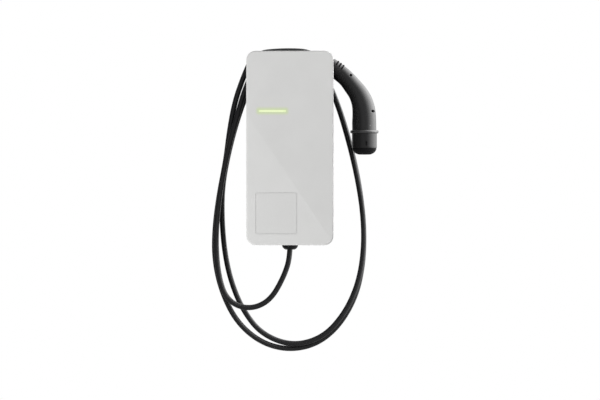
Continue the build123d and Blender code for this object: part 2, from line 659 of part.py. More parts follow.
def gland_nut():
    """Clamping nut: a hexagon with a domed end that closes on the cable."""
    nut = upright(hexagon(GLAND_NUT_AF), GLAND_NUT_SHOULDER, GLAND_NUT_TOP)
    corner = GLAND_NUT_AF / math.sqrt(3)
    chamfered = turned([
        (0, GLAND_NUT_TOP),
        (corner - GLAND_NUT_CHAMFER, GLAND_NUT_TOP),
        (corner, GLAND_NUT_TOP - GLAND_NUT_CHAMFER),
        (corner, GLAND_NUT_SHOULDER + GLAND_NUT_CHAMFER),
        (corner - GLAND_NUT_CHAMFER, GLAND_NUT_SHOULDER),
        (0, GLAND_NUT_SHOULDER),
    ])
    root = (GLAND_DOME_R, GLAND_NUT_SHOULDER)
    tip = (GLAND_TIP_R, GLAND_TIP)
    side = SagittaArc(root, tip, GLAND_DOME_BULGE)
    rest = Polyline(tip, (0, GLAND_TIP), (0, GLAND_NUT_SHOULDER), root)
    dome = revolve(Plane.XZ * make_face(side + rest), Axis.Z)
    hollow = upright(Circle(GLAND_SEAL_R + CABLE_CLEARANCE), GLAND_TIP + GLAND_TIP_FLOOR, GLAND_NUT_TOP)
    bore = upright(Circle(CABLE_BORE_R), GLAND_TIP, GLAND_NUT_TOP)
    return at_gland((nut & chamfered) + dome - hollow - bore)


def gland_seal():
    ring = Circle(GLAND_SEAL_R) - Circle(CABLE_BORE_R)
    return at_gland(upright(ring, GLAND_TIP + GLAND_TIP_FLOOR, GLAND_NUT_TOP))


def power_board():
    """Main board on the drum's posts."""
    board = Pos(0, (POWER_FOOT + POWER_TOP) / 2) * RectangleRounded(POWER_W, POWER_H, BOARD_CORNER)
    board -= spots(BOARD_POSTS, SCREW_R + FIT) + spots(STANDOFFS, STANDOFF_HOLE_R)
    return slab(board, POWER_DEPTH, POWER_DEPTH + BOARD_T)


def relays():
    """Contactor relays in a row across the main board."""
    front = POWER_DEPTH + BOARD_T
    case = RectangleRounded(RELAY_W, RELAY_H, RELAY_CORNER)
    pitch = RELAY_W + RELAY_GAP
    first = -(RELAY_COUNT - 1) / 2 * pitch
    row = Sketch() + [Pos(first + i * pitch, RELAY_Z) * case for i in range(RELAY_COUNT)]
    return slab(row, front, front + RELAY_DEPTH)


def terminal(size, z, back):
    """Screw terminal: a block with a row of screw wells in front."""
    width, height, depth = size
    pitch = width / TERMINAL_WAYS
    ways = [(i + 0.5) * pitch - width / 2 for i in range(TERMINAL_WAYS)]
    block = slab(Pos(0, z) * Rectangle(width, height), back, back + depth)
    wells = spots([(x, z + height / 2 - WELL_FROM_TOP) for x in ways], pitch / 2 - WELL_WALL)
    return block - slab(wells, back + depth - WELL_DEPTH, back + depth)


def supply_terminal():
    z = POWER_TOP - BOARD_EDGE * 2 - SUPPLY_TERMINAL[1] / 2
    return terminal(SUPPLY_TERMINAL, z, POWER_DEPTH + BOARD_T)


def output_terminal():
    z = POWER_FOOT + OUTPUT_TERMINAL[1] / 2
    return terminal(OUTPUT_TERMINAL, z, POWER_DEPTH - OUTPUT_TERMINAL[2])


def current_sensor():
    """Ring core that feels a leakage current, flat on the main board."""
    front = POWER_DEPTH + BOARD_T
    ring = slab(Pos(0, SENSOR_Z) * (Circle(SENSOR_R) - Circle(SENSOR_BORE_R)), front, front + SENSOR_T)
    return fillet(ring.edges().group_by(Axis.Y)[0], SENSOR_EDGE)


def standoffs():
    """Four long hexagon spacers between the two boards."""
    spacers = Sketch() + [Pos(x, z) * hexagon(STANDOFF_AF) for x, z in STANDOFFS]
    return slab(spacers, POWER_DEPTH + BOARD_T, CONTROL_DEPTH)


def control_board():
    board = Pos(0, CONTROL_Z) * RectangleRounded(CONTROL_W, CONTROL_H, BOARD_CORNER)
    return slab(board - spots(STANDOFFS, STANDOFF_HOLE_R), CONTROL_DEPTH, CONTROL_DEPTH + BOARD_T)


def radio_module():
    """Small shielded can on the control board."""
    width, height, depth = RADIO
    front = CONTROL_DEPTH + BOARD_T
    can = Pos(RADIO_X, CONTROL_Z + RADIO_ABOVE_CENTRE) * RectangleRounded(width, height, RELAY_CORNER)
    return slab(can, front, front + depth)


def charging_leads():
    """Conductors from the cable's end in the gland up to the output terminal."""
    ring = Sketch() + [place * Circle(LEAD_R) for place in PolarLocations(LEAD_RING_R, TERMINAL_WAYS)]
    return at_gland(upright(ring, CABLE_START, POWER_FOOT))


def handle_plane(along):
    """Plane across the handle's axis: upright, then round the bend, then straight to the tail."""
    turn = min(max(along - HANDLE_STRAIGHT, 0) / BEND_R, math.radians(BEND_TURN))
    past = along - BEND_R * turn - (HANDLE_STRAIGHT if along > HANDLE_STRAIGHT else along)
    base = BEND_START if along > HANDLE_STRAIGHT else COLLAR_TOP + along
    out = Vector(math.cos(turn), 0, math.sin(turn))
    run = Vector(-math.sin(turn), 0, math.cos(turn))
    origin = Vector(-BEND_R, 0, base) + out * BEND_R + run * past
    return Plane(origin=origin, x_dir=out, z_dir=run)


def handle_block(inset):
    """The handle's outer form, filled: rounded sections lofted along the bent axis."""
    sections = [
        handle_plane(along) * rounded(width, thick, HANDLE_ROUND, inset)
        for along, width, thick in HANDLE_SECTIONS
    ]
    return loft(sections)


def handle_ribs():
    """Raised grip ribs across the outer edge of the tail, as bars still to be trimmed to its form."""
    bars = Part()
    for i in range(RIB_COUNT):
        plane = handle_plane(HANDLE_L - RIB_FROM_TAIL_END - i * RIB_PITCH)
        bar = Box(PLUG_REACH, PLUG_REACH, RIB_W)
        bars += plane * Pos(RIB_FROM_AXIS + PLUG_REACH / 2, 0, 0) * bar
    return bars


def handle_shell():
    """Hollow handle with grip ribs, screw bosses and a closed tail with its bore."""
    block = handle_block(0) + (handle_ribs() & handle_block(-RIB_PROUD))
    tail = handle_plane(HANDLE_L)
    past_tail = tail * Pos(0, 0, PLUG_REACH / 2 - TAIL_WALL) * Box(PLUG_REACH, PLUG_REACH, PLUG_REACH)
    hollow = handle_block(HANDLE_WALL) - past_tail
    shell = block - (hollow - screw_holes(PLUG_BOSS_R, -PLUG_REACH / 2, PLUG_REACH / 2))
    return shell - tail * Cylinder(STRAIN_NECK_R + CABLE_CLEARANCE, 3 * TAIL_WALL)


def screw_holes(radius, y_low, y_high):
    """Round bars along the handset's own Y at both screw places."""
    bar = Rot(90, 0, 0) * Cylinder(radius, y_high - y_low)
    return Part() + [Pos(x, (y_low + y_high) / 2, z) * bar for x, z in PLUG_SCREWS]


def handle_half(front):
    """One half of the handle, split on the plane of its bend; the front half has the screw wells."""
    half = split(handle_shell(), Plane.XZ, Keep.TOP if front else Keep.BOTTOM)
    if front:
        half -= screw_holes(PLUG_SCREW_HEAD_R + FIT, -PLUG_REACH / 2, -PLUG_SCREW_SEAT)
        half -= screw_holes(PLUG_SCREW_R + FIT, -PLUG_REACH / 2, 0)
    else:
        half -= screw_holes(PLUG_SCREW_R, 0, PLUG_SCREW_TIP + PLUG_BORE_SPARE)
    return PLUG_PLACE * half


def plug_screws():
    heads = screw_holes(PLUG_SCREW_HEAD_R, -PLUG_SCREW_SEAT - PLUG_SCREW_HEAD_T, -PLUG_SCREW_SEAT)
    return PLUG_PLACE * (heads + screw_holes(PLUG_SCREW_R - SCREW_GAP, -PLUG_SCREW_SEAT, PLUG_SCREW_TIP))


def nose_outline(inset):
    """Round nose with one flat that keys it in the vehicle's inlet."""
    keep = Pos(0, -NOSE_R + NOSE_FLAT - inset) * Rectangle(2 * NOSE_R, 2 * NOSE_R)
    return Circle(NOSE_R - inset) & keep


def sockets(places, radius, z_low, z_high):
    return upright(Sketch() + [Pos(x, y) * Circle(radius) for x, y in places], z_low, z_high)


def plug_nose():
    """Front moulding: spigot in the handle, collar, and the keyed nose, bored for the contact carrier."""
    spigot_w = min(HANDLE_SECTIONS[1][1:]) - 2 * (HANDLE_WALL + FIT)
    collar = turned([(0, COLLAR_FOOT), (COLLAR_R, COLLAR_FOOT), (COLLAR_R, COLLAR_TOP), (0, COLLAR_TOP)])
    collar = fillet(collar.edges().filter_by(GeomType.CIRCLE), COLLAR_EDGE)
    spigot_outline = rounded(spigot_w, spigot_w, HANDLE_ROUND - HANDLE_WALL, 0)
    spigot = upright(spigot_outline, COLLAR_TOP, SPIGOT_TOP)
    nose = collar + spigot + upright(nose_outline(0), NOSE_END, COLLAR_FOOT)
    nose -= upright(nose_outline(NOSE_WALL), NOSE_END, SOCKET_FACE)
    return PLUG_PLACE * (nose - upright(Circle(CARRIER_R), SOCKET_FACE, SPIGOT_TOP))


def contact_carrier(y_low, y_high):
    """One layer of the stacked carrier, which meets the next layer across a row of contact wells."""
    top = SPIGOT_TOP + CARRIER_FLANGE_T
    carrier = upright(Circle(CARRIER_R - CARRIER_GAP), SOCKET_FACE, SPIGOT_TOP)
    carrier += upright(Circle(CARRIER_R + CARRIER_LIP), SPIGOT_TOP, top)
    carrier -= sockets(POWER_SOCKETS, POWER_CONTACT_R + CONTACT_GAP, SOCKET_FACE, top)
    carrier -= sockets(SIGNAL_SOCKETS, SIGNAL_CONTACT_R + CONTACT_GAP, SOCKET_FACE, top)
    layer = Pos(0, (y_low + y_high) / 2) * Rectangle(PLUG_REACH, y_high - y_low)
    return PLUG_PLACE * (carrier & upright(layer, SOCKET_FACE, top))


def contact_sleeves(places, outer, bore):
    """Sleeve contacts, bored from below for the inlet's pins."""
    foot = SOCKET_FACE + CONTACT_SET_BACK
    solid = sockets(places, outer, foot, SPIGOT_TOP + CONTACT_TAIL)
    return PLUG_PLACE * (solid - sockets(places, bore, foot, foot + SOCKET_DEPTH))


def plug_strain_relief():
    """Tapered rubber sleeve on the cable, held by a flange inside the handle's tail."""
    bore = CABLE_BORE_R
    flange_top = -TAIL_WALL - CABLE_CLEARANCE
    sleeve = turned([
        (bore, flange_top - STRAIN_FLANGE_T),
        (STRAIN_FLANGE_R, flange_top - STRAIN_FLANGE_T),
        (STRAIN_FLANGE_R, flange_top),
        (STRAIN_NECK_R, flange_top),
        (STRAIN_NECK_R, CABLE_CLEARANCE),
        (STRAIN_ROOT_R, CABLE_CLEARANCE),
        (STRAIN_TIP_R, STRAIN_L),
        (bore, STRAIN_L),
    ])
    return PLUG_PLACE * (handle_plane(HANDLE_L) * sleeve)


def plug_cap():
    """Push-on dust cap: a round-bottomed cup with a ring groove near its foot and a short upright slot."""
    cup = upright(Circle(CAP_R), CAP_FOOT, CAP_TOP)
    cup = fillet(cup.edges().group_by(Axis.Z)[0], CAP_ROUND)
    inside = upright(Circle(CAP_R - CAP_WALL), CAP_FOOT + CAP_WALL, CAP_TOP)
    inside = fillet(inside.edges().group_by(Axis.Z)[0], CAP_ROUND - CAP_WALL)
    ring_foot = CAP_FOOT + CAP_RING_FROM_FOOT
    ring = upright(Circle(CAP_R) - Circle(CAP_R - CAP_RING_DEPTH), ring_foot, ring_foot + CAP_RING_H)
    slot_place = Rot(0, 0, CAP_SLOT_TURN) * Pos(0, -CAP_R, CAP_FOOT + CAP_SLOT_FROM_FOOT)
    slot = slot_place * Box(CAP_SLOT_W, 2 * CAP_SLOT_DEPTH, CAP_SLOT_H)
    return PLUG_PLACE * (cup - inside - ring - slot)


def tail_point(out):
    """Point on the handset's tail axis, this far out of the handle's end."""
    plane = handle_plane(HANDLE_L)
    point = PLUG_PLACE * Pos(*(plane.origin + plane.z_dir * out))
    return tuple(point.position)


def cable_points():
    return CABLE_ROUTE + [tail_point(CABLE_LAST_RUN - CABLE_IN_HANDLE), tail_point(-CABLE_IN_HANDLE)]


def cable_radii(points):
    """For each corner, the largest arc that its two runs allow."""
    vectors = [Vector(*p) for p in points]
    radii = []
    for before, corner, after in zip(vectors, vectors[1:], vectors[2:]):
        arriving = corner - before
        leaving = after - corner
        half_turn = math.radians(arriving.get_angle(leaving)) / 2
        radii.append(ARC_SHARE_OF_RUN * min(arriving.length, leaving.length) / math.tan(half_turn))
    return radii


def charging_cable():
    """Round cable along straight runs joined by tangent arcs."""
    points = cable_points()
    radii = cable_radii(points)
    path = FilletPolyline(*points, radius=radii)
    cable = sweep((path ^ 0) * Circle(CABLE_R), path)
    expected = math.pi * CABLE_R ** 2 * path.length
    smallest = [round(radius, 1) for radius in sorted(radii)[:SMALLEST_RADII_SHOWN]]
    print("cable length", round(path.length, 1), "smallest radii", smallest)
    print("cable volume", round(cable.volume), "section times length", round(expected))
    return cable


PARTS = {
    "wall_bracket": wall_bracket,
    "cable_drum": cable_drum,
    "back_plate": back_plate,
    "front_cover": front_cover,
    "drum_seal": drum_seal,
    "cover_seal": cover_seal,
    "plate_screws": plate_screws,
    "cover_screws": cover_screws,
    "locking_screw": locking_screw,
    "supply_grommet": supply_grommet,
    "gland_body": gland_body,
    "gland_locknut": gland_locknut,
    "gland_nut": gland_nut,
    "gland_seal": gland_seal,
    "power_board": power_board,
    "board_screws": board_screws,
    "relays": relays,
    "supply_terminal": supply_terminal,
    "output_terminal": output_terminal,
    "current_sensor": current_sensor,
    "standoffs": standoffs,
    "control_board": control_board,
    "radio_module": radio_module,
    "light_guide": light_guide,
    "led_board": led_board,
    "led_screws": led_screws,
    "reader_insert": reader_insert,
    "reader_board": reader_board,
    "charging_leads": charging_leads,
    "charging_cable": charging_cable,
    "plug_handle_front": lambda: handle_half(True),
    "plug_handle_rear": lambda: handle_half(False),
    "plug_screws": plug_screws,
    "plug_strain_relief": plug_strain_relief,
    "plug_nose": plug_nose,
    "plug_carrier_front": lambda: contact_carrier(-PLUG_REACH / 2, POWER_PAIR_Y),
    "plug_carrier_middle": lambda: contact_carrier(POWER_PAIR_Y, 0),
    "plug_carrier_rear": lambda: contact_carrier(0, PLUG_REACH / 2),
    "plug_power_contacts": lambda: contact_sleeves(POWER_SOCKETS, POWER_CONTACT_R, POWER_PIN_R),
    "plug_signal_contacts": lambda: contact_sleeves(SIGNAL_SOCKETS, SIGNAL_CONTACT_R, SIGNAL_PIN_R),
    "plug_cap": plug_cap,
}

os.makedirs("parts", exist_ok=True)
for name, make in PARTS.items():
    export_step(make(), f"parts/{name}.step")
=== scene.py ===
# %% [markdown]
# # A wall charger for an electric car
#
# The charger is a pale moulded box whose face is folded into three flat facets. A black cable leaves a gland
# under the box, is wound round a drum behind the cover, and ends in a bent handset that hangs at the right.
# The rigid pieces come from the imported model. This lesson gives each of them its finish, makes the cable as
# one smooth tube, and sets up a plain white studio.

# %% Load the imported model
import json
import math

import bpy
import numpy as np
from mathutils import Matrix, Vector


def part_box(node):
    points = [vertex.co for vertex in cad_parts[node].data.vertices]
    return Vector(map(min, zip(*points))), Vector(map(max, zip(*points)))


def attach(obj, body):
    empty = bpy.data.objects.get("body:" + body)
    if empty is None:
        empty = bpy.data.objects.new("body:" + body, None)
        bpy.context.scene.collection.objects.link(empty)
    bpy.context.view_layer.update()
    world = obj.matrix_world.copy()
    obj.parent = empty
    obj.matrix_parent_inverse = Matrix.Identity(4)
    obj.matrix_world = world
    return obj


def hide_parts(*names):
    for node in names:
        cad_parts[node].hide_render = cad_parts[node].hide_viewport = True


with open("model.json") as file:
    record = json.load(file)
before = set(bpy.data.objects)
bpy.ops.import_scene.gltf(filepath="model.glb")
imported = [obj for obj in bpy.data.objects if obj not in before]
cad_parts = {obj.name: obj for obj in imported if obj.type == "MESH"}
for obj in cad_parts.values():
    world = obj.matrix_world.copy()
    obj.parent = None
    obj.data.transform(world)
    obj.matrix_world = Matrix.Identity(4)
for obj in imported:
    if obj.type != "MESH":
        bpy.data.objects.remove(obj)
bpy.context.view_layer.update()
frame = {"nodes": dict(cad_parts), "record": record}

MM = 0.001
nodes = frame["nodes"]

# %% [markdown]
# ## Camera
#
# The picture was taken from straight in front with a long lens: the box's sides stay parallel and nothing
# behind the cover peeps out more on one side than on the other. A camera could be turned and shifted until
# it matches, but here its place follows from two facts: the cover is 184 mm wide and spans 87.4 pixels, so
# one pixel is 2.106 mm at the cover's front, and the picture's centre is a little right of and below the
# cover's.

# %% Camera straight in front, on a long lens
IMAGE_WIDTH = 600
PIXEL = 2.106 * MM
LENS = 150.0
SENSOR = 36.0
COVER_FRONT_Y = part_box("front_cover")[0].y
VIEW_CENTRE_X = 21.3 * MM
VIEW_CENTRE_Z = -109.6 * MM
camera_distance = IMAGE_WIDTH * PIXEL * LENS / SENSOR

camera = bpy.data.objects.new("camera", bpy.data.cameras.new("camera"))
bpy.context.scene.collection.objects.link(camera)
camera.data.lens = LENS
camera.data.sensor_width = SENSOR
camera.location = (VIEW_CENTRE_X, COVER_FRONT_Y - camera_distance, VIEW_CENTRE_Z)
camera.rotation_euler = (math.pi / 2, 0, 0)
bpy.context.scene.camera = camera
print("camera", round(camera_distance, 3), "m in front of the cover")

# %% [markdown]
# ## Helpers
#
# A few small tools serve the whole lesson. Colours are written as they look on a screen, so one function
# turns them to the linear light that shaders want. One function adds a shader node with its settings and
# links. One function turns a grid of points, worked out as whole numpy arrays, into a closed mesh.


# %% Colours
def linear(colour):
    """A screen colour such as #d3d3d2 as linear light.

    Each channel is c / 12.92 in the dark and ((c + 0.055) / 1.055) ^ 2.4 above.
    """
    screen = np.array([int(colour[i:i + 2], 16) for i in (1, 3, 5)]) / 255
    light = np.where(screen <= 0.04045, screen / 12.92, ((screen + 0.055) / 1.055) ** 2.4)
    return (*light.tolist(), 1.0)


# %% Shader nodes
# A noise seldom leaves this range, so shades and gloss are spread over it
NOISE_LOW, NOISE_HIGH = 0.3, 0.7


def add_node(tree, kind, inputs=None, **settings):
    """Adds a node, sets its properties and fills its inputs: a socket is linked, the rest are values."""
    node = tree.nodes.new(kind)
    for name, value in settings.items():
        setattr(node, name, value)
    for key, value in (inputs or {}).items():
        if isinstance(value, bpy.types.NodeSocket):
            tree.links.new(value, node.inputs[key])
        else:
            node.inputs[key].default_value = value
    return node


def start_material(name, **constants):
    """A new material, its node tree and its shader, with the inputs set that are the same all over."""
    material = bpy.data.materials.new(name)
    material.use_nodes = True
    shader = material.node_tree.nodes["Principled BSDF"]
    for key, value in constants.items():
        shader.inputs[key.replace("_", " ")].default_value = value
    return material, material.node_tree, shader


def two_shades(tree, amount, first, second):
    """A colour ramp from one shade to another over the middle of a noise."""
    ramp = add_node(tree, "ShaderNodeValToRGB", {"Fac": amount})
    ramp.color_ramp.elements[0].position = NOISE_LOW
    ramp.color_ramp.elements[1].position = NOISE_HIGH
    ramp.color_ramp.elements[0].color = linear(first)
    ramp.color_ramp.elements[1].color = linear(second)
    return ramp.outputs["Color"]


def per_metre(size_mm):
    """Texture scale for a pattern whose features are this many millimetres across."""
    return 1 / (size_mm * MM)


# %% Surfaces from grids
def tube_mesh(name, rings):
    """A closed mesh from an array (rings, corners, 3): quads between rings and a flat face at each end."""
    count, corners = rings.shape[:2]
    ring = np.arange(count - 1)[:, None] * corners
    corner = np.arange(corners)[None, :]
    following = (corner + 1) % corners
    above = ring + corners
    quads = np.stack([ring + corner, ring + following, above + following, above + corner], -1)
    first_end = [list(range(corners))[::-1]]
    last_end = [list(range((count - 1) * corners, count * corners))]
    mesh = bpy.data.meshes.new(name)
    mesh.from_pydata(rings.reshape(-1, 3).tolist(), [], quads.reshape(-1, 4).tolist() + first_end + last_end)
    mesh.polygons.foreach_set("use_smooth", np.ones(len(mesh.polygons), bool))
    mesh.update()
    return mesh


def add_piece(name, mesh, material):
    """Puts a mesh in the scene at the origin, with its finish."""
    piece = bpy.data.objects.new(name, mesh)
    bpy.context.scene.collection.objects.link(piece)
    mesh.materials.append(material)
    return piece


print("helpers ready")

# %% [markdown]
# ## Moulded finishes
#
# Nearly everything here is injection-moulded plastic or rubber. What the eye reads as plastic is not the
# colour but three small things: a grain that the mould was etched with, a gloss that is not quite even, and a
# colour that drifts by a percent or two. One function makes any moulded finish from a colour, a drift, a
# grain size and a gloss, so the plastics differ only where the real ones do.

# %% Moulded plastics and rubbers
DRIFT_MM = 60
# The grain is a quarter as high as it is wide
GRAIN_HEIGHT = 1 / 4


def moulded(name, shades, grain_mm, grain_depth, gloss, specular):
    """Moulded surface: colour drifts between two close shades, gloss wanders, and a fine grain is a bump."""
    material, tree, shader = start_material(name, Specular_IOR_Level=specular)
    place = add_node(tree, "ShaderNodeTexCoord").outputs["Object"]
    cloud = add_node(tree, "ShaderNodeTexNoise", {"Vector": place, "Scale": per_metre(DRIFT_MM),
                                                  "Detail": 3.0}).outputs["Fac"]
    grain = add_node(tree, "ShaderNodeTexNoise", {"Vector": place, "Scale": per_metre(grain_mm),
                                                  "Detail": 2.0}).outputs["Fac"]
    rough = add_node(tree, "ShaderNodeMapRange", {"Value": grain, "From Min": NOISE_LOW,
                                                  "From Max": NOISE_HIGH,
                                                  "To Min": gloss[0], "To Max": gloss[1]})
    bump = add_node(tree, "ShaderNodeBump", {"Height": grain, "Strength": grain_depth,
                                             "Distance": GRAIN_HEIGHT * grain_mm * MM})
    tree.links.new(two_shades(tree, cloud, *shades), shader.inputs["Base Color"])
    tree.links.new(rough.outputs["Result"], shader.inputs["Roughness"])
    tree.links.new(bump.outputs["Normal"], shader.inputs["Normal"])
    return material


# %% Pale and grey mouldings
# ASA from an etched mould: a pale grey satin that hardly shines, the grain drawn coarser than the real 0.1 mm
cover_asa = moulded("moulded_pale_asa", ("#d2d2d1", "#d5d5d4"), 0.8, 0.05, (0.45, 0.52), 0.4)
# The reader's window is the same plastic from a smoother mould: a touch darker, glossier and more even
window_asa = moulded("moulded_window_asa", ("#d0d0cf", "#d2d2d1"), 0.8, 0.03, (0.40, 0.45), 0.4)
# Glass-filled housing plastic: dark grey, duller, with a rougher skin
housing_asa = moulded("moulded_dark_asa", ("#2b2c2e", "#323335"), 1.2, 0.15, (0.50, 0.60), 0.4)
plate_asa = moulded("moulded_grey_asa", ("#38393b", "#3e3f41"), 1.2, 0.15, (0.50, 0.60), 0.4)
terminal_pa = moulded("moulded_grey_polyamide", ("#8a8e90", "#929698"), 1.0, 0.10, (0.45, 0.55), 0.45)
print("pale and grey mouldings made")

# %% Black mouldings and rubbers
# Handset shells: polyamide with a close satin that softly mirrors the studio
handset_pa = moulded("moulded_black_polyamide", ("#0a0a0b", "#0d0d0e"), 1.2, 0.10, (0.24, 0.30), 0.32)
# The nose and the carriers come from polished moulds and are plainly black, and the gland is duller
nose_pbt = moulded("moulded_black_pbt", ("#121213", "#161617"), 1.0, 0.06, (0.32, 0.40), 0.6)
gland_pa = moulded("moulded_gland_polyamide", ("#0c0c0d", "#101011"), 1.0, 0.08, (0.40, 0.50), 0.12)
relay_pbt = moulded("moulded_relay_pbt", ("#1b202b", "#20263a"), 1.0, 0.05, (0.30, 0.38), 0.5)
sensor_epoxy = moulded("cast_sensor_epoxy", ("#2a2c30", "#303338"), 2.0, 0.15, (0.35, 0.50), 0.5)
# The dust cap is a rubber from a polished mould, and the seals are cut from matt sheet
cap_tpe = moulded("moulded_tpe_rubber", ("#0a0a0b", "#0d0d0e"), 1.0, 0.08, (0.26, 0.32), 0.24)
seal_epdm = moulded("cut_epdm_rubber", ("#161617", "#1c1c1d"), 1.5, 0.20, (0.70, 0.80), 0.3)
print("black mouldings made")

# %% [markdown]
# ## Matt parts of the handset
#
# The grip ribs near the handset's tail, its two screw wells, and the grooves and foot of the dust cap are
# left with the matt skin of the mould, while the faces round them are polished. They could be separate
# finishes on separate faces, but each piece has one material, so the place decides: along the tail for the
# ribs, the distance from its axis for a well, and the distance from the nose's axis for the cap.

# %% Where the handset is matt
PLUG_AXIS = (158.5 * MM, -48.0 * MM, 0.0)
HANDLE_YAW = math.radians(13.5)
# The screw wells run into the handle along its own depth; each is given across and up from the nose's axis
WELLS = ((-27.3 * MM, 156.3 * MM), (20.6 * MM, 79.0 * MM))
WELL_R = 2.9 * MM
WELL_RUN = (math.sin(HANDLE_YAW), math.cos(HANDLE_YAW), 0.0)
TAIL_END = (85.4 * MM, -30.5 * MM, 178.9 * MM)
# Square to the tail, towards the outer side of the bend
TAIL_OUT = (0.625, -0.150, 0.766)
# The ribs lean: from the outer edge to the front they come this much nearer to the nose for their depth
RIB_LEAN = 0.29
# Along the tail, with the lean taken off
RIB_RUN = (-0.813, -0.103, 0.643)
RIB_MIDDLE = -16.9 * MM
RIB_PITCH = 7.2 * MM
RIB_W = 3.6 * MM
RIB_SPAN = 3 * RIB_PITCH
RIB_FROM_AXIS = 11.0 * MM
CAP_POLISHED_R = 26.1 * MM
MATT_ROUGHNESS = 0.75
MATT_SPECULAR = 0.1


def dull_where(tree, mask):
    """Where the mask is 1 the surface turns matt: rough, and with hardly any mirror gloss."""
    shader = tree.nodes["Principled BSDF"]
    polished = shader.inputs["Roughness"].links[0].from_socket
    gloss = shader.inputs["Specular IOR Level"].default_value
    rough = add_node(tree, "ShaderNodeMix", {0: mask, 2: polished, 3: MATT_ROUGHNESS}, data_type="FLOAT")
    mirror = add_node(tree, "ShaderNodeMix", {0: mask, 2: gloss, 3: MATT_SPECULAR}, data_type="FLOAT")
    tree.links.new(rough.outputs[0], shader.inputs["Roughness"])
    tree.links.new(mirror.outputs[0], shader.inputs["Specular IOR Level"])


# %% Matt ribs and wells on the handset
tree = handset_pa.node_tree
place = add_node(tree, "ShaderNodeTexCoord").outputs["Object"]
offset = add_node(tree, "ShaderNodeVectorMath", {0: place, 1: TAIL_END}, operation="SUBTRACT").outputs[0]
along = add_node(tree, "ShaderNodeVectorMath", {0: offset, 1: RIB_RUN},
                 operation="DOT_PRODUCT").outputs["Value"]
out = add_node(tree, "ShaderNodeVectorMath", {0: offset, 1: TAIL_OUT},
               operation="DOT_PRODUCT").outputs["Value"]
from_middle = add_node(tree, "ShaderNodeMath", {0: along, 1: RIB_MIDDLE}, operation="SUBTRACT").outputs[0]
to_rib = add_node(tree, "ShaderNodeMath", {0: from_middle, 1: RIB_PITCH / 2}, operation="PINGPONG").outputs[0]
on_rib = add_node(tree, "ShaderNodeMath", {0: to_rib, 1: RIB_W / 2}, operation="LESS_THAN").outputs[0]
near_ribs = add_node(tree, "ShaderNodeMath", {0: from_middle, 1: 0.0, 2: RIB_SPAN / 2},
                     operation="COMPARE").outputs[0]
outer = add_node(tree, "ShaderNodeMath", {0: out, 1: RIB_FROM_AXIS}, operation="GREATER_THAN").outputs[0]
rib = add_node(tree, "ShaderNodeMath", {0: on_rib, 1: near_ribs}, operation="MULTIPLY").outputs[0]
matt = add_node(tree, "ShaderNodeMath", {0: rib, 1: outer}, operation="MULTIPLY").outputs[0]
for across, up in WELLS:
    middle = (PLUG_AXIS[0] + across * WELL_RUN[1], PLUG_AXIS[1] - across * WELL_RUN[0], up)
    offset = add_node(tree, "ShaderNodeVectorMath", {0: place, 1: middle}, operation="SUBTRACT").outputs[0]
    aside = add_node(tree, "ShaderNodeVectorMath", {0: offset, 1: WELL_RUN},
                     operation="CROSS_PRODUCT").outputs[0]
    reach = add_node(tree, "ShaderNodeVectorMath", {0: aside}, operation="LENGTH").outputs["Value"]
    depth = add_node(tree, "ShaderNodeVectorMath", {0: offset, 1: WELL_RUN},
                     operation="DOT_PRODUCT").outputs["Value"]
    in_front = add_node(tree, "ShaderNodeMath", {0: depth, 1: 0.0}, operation="LESS_THAN").outputs[0]
    in_round = add_node(tree, "ShaderNodeMath", {0: reach, 1: WELL_R}, operation="LESS_THAN").outputs[0]
    in_well = add_node(tree, "ShaderNodeMath", {0: in_round, 1: in_front}, operation="MULTIPLY").outputs[0]
    matt = add_node(tree, "ShaderNodeMath", {0: matt, 1: in_well}, operation="MAXIMUM").outputs[0]
dull_where(tree, matt)

# %% Matt grooves and foot on the cap
tree = cap_tpe.node_tree
place = add_node(tree, "ShaderNodeTexCoord").outputs["Object"]
offset = add_node(tree, "ShaderNodeVectorMath", {0: place, 1: PLUG_AXIS}, operation="SUBTRACT").outputs[0]
level = add_node(tree, "ShaderNodeVectorMath", {0: offset, 1: (1, 1, 0)}, operation="MULTIPLY").outputs[0]
reach = add_node(tree, "ShaderNodeVectorMath", {0: level}, operation="LENGTH").outputs["Value"]
sunk = add_node(tree, "ShaderNodeMath", {0: reach, 1: CAP_POLISHED_R}, operation="LESS_THAN").outputs[0]
dull_where(tree, sunk)
print("matt parts made")

# %% [markdown]
# ## Metals
#
# The bracket is bent from zinc-plated sheet, the screws are turned steel, the spacers brass, and the
# contacts silver-plated. Metal shows how it was worked: fine streaks along the rolling or turning direction.
# A noise that is stretched along one axis gives those streaks in both the colour and the gloss.


# %% Worked metals
STREAK_STRETCH = 8


def worked_metal(name, shades, streak_mm, gloss):
    """Metal with streaks: a noise that is drawn out along Z drives two shades and a range of gloss."""
    material, tree, shader = start_material(name, Metallic=1.0)
    place = add_node(tree, "ShaderNodeTexCoord").outputs["Object"]
    drawn_out = add_node(tree, "ShaderNodeMapping", {"Vector": place,
                                                     "Scale": (1.0, 1.0, 1 / STREAK_STRETCH)})
    streaks = add_node(tree, "ShaderNodeTexNoise", {"Vector": drawn_out.outputs["Vector"], "Detail": 4.0,
                                                    "Scale": per_metre(streak_mm)})
    rough = add_node(tree, "ShaderNodeMapRange", {"Value": streaks.outputs["Fac"], "From Min": NOISE_LOW,
                                                  "From Max": NOISE_HIGH,
                                                  "To Min": gloss[0], "To Max": gloss[1]})
    tree.links.new(two_shades(tree, streaks.outputs["Fac"], *shades), shader.inputs["Base Color"])
    tree.links.new(rough.outputs["Result"], shader.inputs["Roughness"])
    return material


